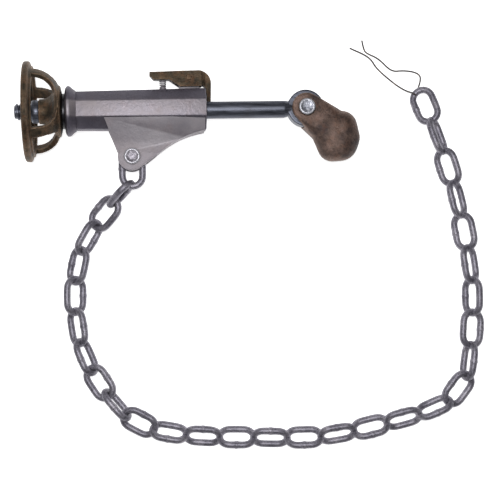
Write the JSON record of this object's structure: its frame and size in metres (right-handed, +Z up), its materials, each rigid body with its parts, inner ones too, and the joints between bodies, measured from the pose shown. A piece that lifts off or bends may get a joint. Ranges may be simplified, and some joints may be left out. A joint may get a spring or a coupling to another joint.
{
  "type": "load binder",
  "caption": "Screw load binder: a dished handwheel nut on an octagonal barrel pulls a hooked rod in, with a spring latch and a length of welded chain on its side lug",
  "frame": {"origin": "middle of the whole object’s outline, on the floor it lies on", "axes": "+X runs from the handwheel to the hook, +Y to the latch side of the barrel, +Z up off the floor"},
  "size_m": [0.8266, 0.7316, 0.1748],
  "materials": {
    "plated": "dull zinc-grey coating over steel",
    "casting": "weathered olive-brown casting",
    "rolled": "dark rolled steel",
    "bright": "bright plated steel",
    "bronze": "bearing bronze",
    "chain_steel": "galvanised, matt blue-grey",
    "dark_wire": "annealed dark wire"
  },
  "bodies": {
    "barrel": {"barrel": "plated", "barrel_flange": "plated", "left_guide_bush": "bronze", "right_guide_bush": "bronze", "front_cheek_plate": "plated", "rear_cheek_plate": "plated", "curved_web": "plated", "lug_pin": "bright", "lug_pin_washer": "bright", "lug_pin_cotter": "bright", "latch_post": "plated", "latch_pivot_pin": "bright", "spring_stud": "plated", "latch_spring": "bright", "thrust_washer": "rolled"},
    "handwheel": {"handwheel": "casting", "hub_nut": "rolled"},
    "rod": {"screw_rod": "rolled"},
    "hook": {"grab_hook": "casting", "hook_pin": "bright", "hook_pin_washer": "bright", "hook_pin_cotter": "bright"},
    "latch": {"latch_lever": "casting"},
    "link_01": {"chain_link_01": "chain_steel"},
    "link_02": {"chain_link_02": "chain_steel"},
    "link_03": {"chain_link_03": "chain_steel"},
    "link_04": {"chain_link_04": "chain_steel"},
    "link_05": {"chain_link_05": "chain_steel"},
    "link_06": {"chain_link_06": "chain_steel"},
    "link_07": {"chain_link_07": "chain_steel"},
    "link_08": {"chain_link_08": "chain_steel"},
    "link_09": {"chain_link_09": "chain_steel"},
    "link_10": {"chain_link_10": "chain_steel"},
    "link_11": {"chain_link_11": "chain_steel"},
    "link_12": {"chain_link_12": "chain_steel"},
    "link_13": {"chain_link_13": "chain_steel"},
    "link_14": {"chain_link_14": "chain_steel"},
    "link_15": {"chain_link_15": "chain_steel"},
    "link_16": {"chain_link_16": "chain_steel"},
    "link_17": {"chain_link_17": "chain_steel"},
    "link_18": {"chain_link_18": "chain_steel"},
    "link_19": {"chain_link_19": "chain_steel"},
    "link_20": {"chain_link_20": "chain_steel"},
    "link_21": {"chain_link_21": "chain_steel"},
    "link_22": {"chain_link_22": "chain_steel"},
    "link_23": {"chain_link_23": "chain_steel"},
    "link_24": {"chain_link_24": "chain_steel"},
    "link_25": {"chain_link_25": "chain_steel"},
    "link_26": {"chain_link_26": "chain_steel"},
    "link_27": {"chain_link_27": "chain_steel"},
    "link_28": {"chain_link_28": "chain_steel"},
    "link_29": {"chain_link_29": "chain_steel"},
    "link_30": {"chain_link_30": "chain_steel", "tie_wire": "dark_wire"}
  },
  "joints": [
    {"name": "wheel_spin", "type": "hinge", "parent": "barrel", "child": "handwheel", "pos_m": [-0.39118, 0.22221, 0.08761], "axis": [0.9945, 0.0278, -0.1011], "range_deg": [-1440, 6840]},
    {"name": "rod_slide", "type": "slide", "parent": "barrel", "child": "rod", "axis": [0.9945, 0.0278, -0.1011], "range_m": [-0.1208, 0.0256]},
    {"name": "hook_pivot", "type": "hinge", "parent": "rod", "child": "hook", "pos_m": [0.09313, 0.23574, 0.03839], "axis": [0.101, 0.0028, 0.9949], "range_deg": [-50, 120]},
    {"name": "latch_pivot", "type": "hinge", "parent": "barrel", "child": "latch", "pos_m": [-0.11232, 0.28672, 0.05911], "axis": [0.101, 0.0028, 0.9949], "range_deg": [0, 7], "stiffness_Nm_per_rad": 4, "springref_deg": -8.59, "deforming": ["latch_spring"]},
    {"name": "link_01_swing", "type": "hinge", "parent": "barrel", "child": "link_01", "pos_m": [-0.21049, 0.14562, 0.06948], "axis": [0.101, 0.0028, 0.9949], "range_deg": [-24, 24]},
    {"name": "link_02_swing", "type": "hinge", "parent": "link_01", "child": "link_02", "pos_m": [-0.21239, 0.09623, 0.07179], "axis": [0, 0, -1], "range_deg": [-24, 18]},
    {"name": "link_03_swing", "type": "hinge", "parent": "link_02", "child": "link_03", "pos_m": [-0.24526, 0.0698, 0.03385], "axis": [0, 0, 1], "range_deg": [0, 22]},
    {"name": "link_04_swing", "type": "hinge", "parent": "link_03", "child": "link_04", "pos_m": [-0.27935, 0.03103, 0.02118], "axis": [0, 0, -1], "range_deg": [-16, 24]},
    {"name": "link_05_swing", "type": "hinge", "parent": "link_04", "child": "link_05", "pos_m": [-0.30552, -0.01581, 0.02191], "axis": [0, 0, 1], "range_deg": [-24, 20]},
    {"name": "link_06_swing", "type": "hinge", "parent": "link_05", "child": "link_06", "pos_m": [-0.3166, -0.06892, 0.01913], "axis": [0, 0, -1], "range_deg": [-24, 24]},
    {"name": "link_07_swing", "type": "hinge", "parent": "link_06", "child": "link_07", "pos_m": [-0.31584, -0.12425, 0.01917], "axis": [0, 0, 1], "range_deg": [-24, 24]},
    {"name": "link_08_swing", "type": "hinge", "parent": "link_07", "child": "link_08", "pos_m": [-0.30671, -0.17929, 0.02245], "axis": [0, 0, -1], "range_deg": [-18, 24]},
    {"name": "link_09_swing", "type": "hinge", "parent": "link_08", "child": "link_09", "pos_m": [-0.2856, -0.22859, 0.02232], "axis": [0, 0, 1], "range_deg": [-24, 20]},
    {"name": "link_10_swing", "type": "hinge", "parent": "link_09", "child": "link_10", "pos_m": [-0.25751, -0.27059, 0.02373], "axis": [0, 0, -1], "range_deg": [-18, 24]},
    {"name": "link_11_swing", "type": "hinge", "parent": "link_10", "child": "link_11", "pos_m": [-0.22425, -0.30881, 0.02374], "axis": [0, 0, 1], "range_deg": [-24, 6]},
    {"name": "link_12_swing", "type": "hinge", "parent": "link_11", "child": "link_12", "pos_m": [-0.17558, -0.33311, 0.02072], "axis": [0, 0, -1], "range_deg": [-14, 24]},
    {"name": "link_13_swing", "type": "hinge", "parent": "link_12", "child": "link_13", "pos_m": [-0.118, -0.34245, 0.02081], "axis": [0, 0, 1], "range_deg": [-24, 16]},
    {"name": "link_14_swing", "type": "hinge", "parent": "link_13", "child": "link_14", "pos_m": [-0.05821, -0.3459, 0.01922], "axis": [0, 0, -1], "range_deg": [-12, 16]},
    {"name": "link_15_swing", "type": "hinge", "parent": "link_14", "child": "link_15", "pos_m": [0.00169, -0.34639, 0.01922], "axis": [0, 0, 1], "range_deg": [-20, 14]},
    {"name": "link_16_swing", "type": "hinge", "parent": "link_15", "child": "link_16", "pos_m": [0.06132, -0.34741, 0.01922], "axis": [0, 0, -1], "range_deg": [-12, 24]},
    {"name": "link_17_swing", "type": "hinge", "parent": "link_16", "child": "link_17", "pos_m": [0.1209, -0.34543, 0.01922], "axis": [0, 0, 1], "range_deg": [-24, 12]},
    {"name": "link_18_swing", "type": "hinge", "parent": "link_17", "child": "link_18", "pos_m": [0.17981, -0.33542, 0.01922], "axis": [0, 0, -1], "range_deg": [-12, 24]},
    {"name": "link_19_swing", "type": "hinge", "parent": "link_18", "child": "link_19", "pos_m": [0.23778, -0.32091, 0.01921], "axis": [0, 0, 1], "range_deg": [-22, 10]},
    {"name": "link_20_swing", "type": "hinge", "parent": "link_19", "child": "link_20", "pos_m": [0.29506, -0.30556, 0.02183], "axis": [0, 0, -1], "range_deg": [-10, 24]},
    {"name": "link_21_swing", "type": "hinge", "parent": "link_20", "child": "link_21", "pos_m": [0.34817, -0.28332, 0.02175], "axis": [0, 0, 1], "range_deg": [-24, 10]},
    {"name": "link_22_swing", "type": "hinge", "parent": "link_21", "child": "link_22", "pos_m": [0.3809, -0.23882, 0.02337], "axis": [0, 0, -1], "range_deg": [-8, 24]},
    {"name": "link_23_swing", "type": "hinge", "parent": "link_22", "child": "link_23", "pos_m": [0.38742, -0.18298, 0.02334], "axis": [0, 0, 1], "range_deg": [-24, 12]},
    {"name": "link_24_swing", "type": "hinge", "parent": "link_23", "child": "link_24", "pos_m": [0.39137, -0.12569, 0.02113], "axis": [0, 0, -1], "range_deg": [-14, 24]},
    {"name": "link_25_swing", "type": "hinge", "parent": "link_24", "child": "link_25", "pos_m": [0.39091, -0.06812, 0.02117], "axis": [0, 0, 1], "range_deg": [-24, 16]},
    {"name": "link_26_swing", "type": "hinge", "parent": "link_25", "child": "link_26", "pos_m": [0.38278, -0.01053, 0.02003], "axis": [0, 0, -1], "range_deg": [-18, 24]},
    {"name": "link_27_swing", "type": "hinge", "parent": "link_26", "child": "link_27", "pos_m": [0.37183, 0.04765, 0.02005], "axis": [0, 0, 1], "range_deg": [-24, 20]},
    {"name": "link_28_swing", "type": "hinge", "parent": "link_27", "child": "link_28", "pos_m": [0.35786, 0.10553, 0.02003], "axis": [0, 0, -1], "range_deg": [-20, 24]},
    {"name": "link_29_swing", "type": "hinge", "parent": "link_28", "child": "link_29", "pos_m": [0.3399, 0.16193, 0.02182], "axis": [0, 0, 1], "range_deg": [-24, 24]},
    {"name": "link_30_swing", "type": "hinge", "parent": "link_29", "child": "link_30", "pos_m": [0.31973, 0.21734, 0.02188], "axis": [0, 0, -1], "range_deg": [-18, 18]}
  ],
  "couplings": [
    {"joint": "rod_slide", "follows": "wheel_spin", "m_per_rad": -0.0010106}
  ]
}
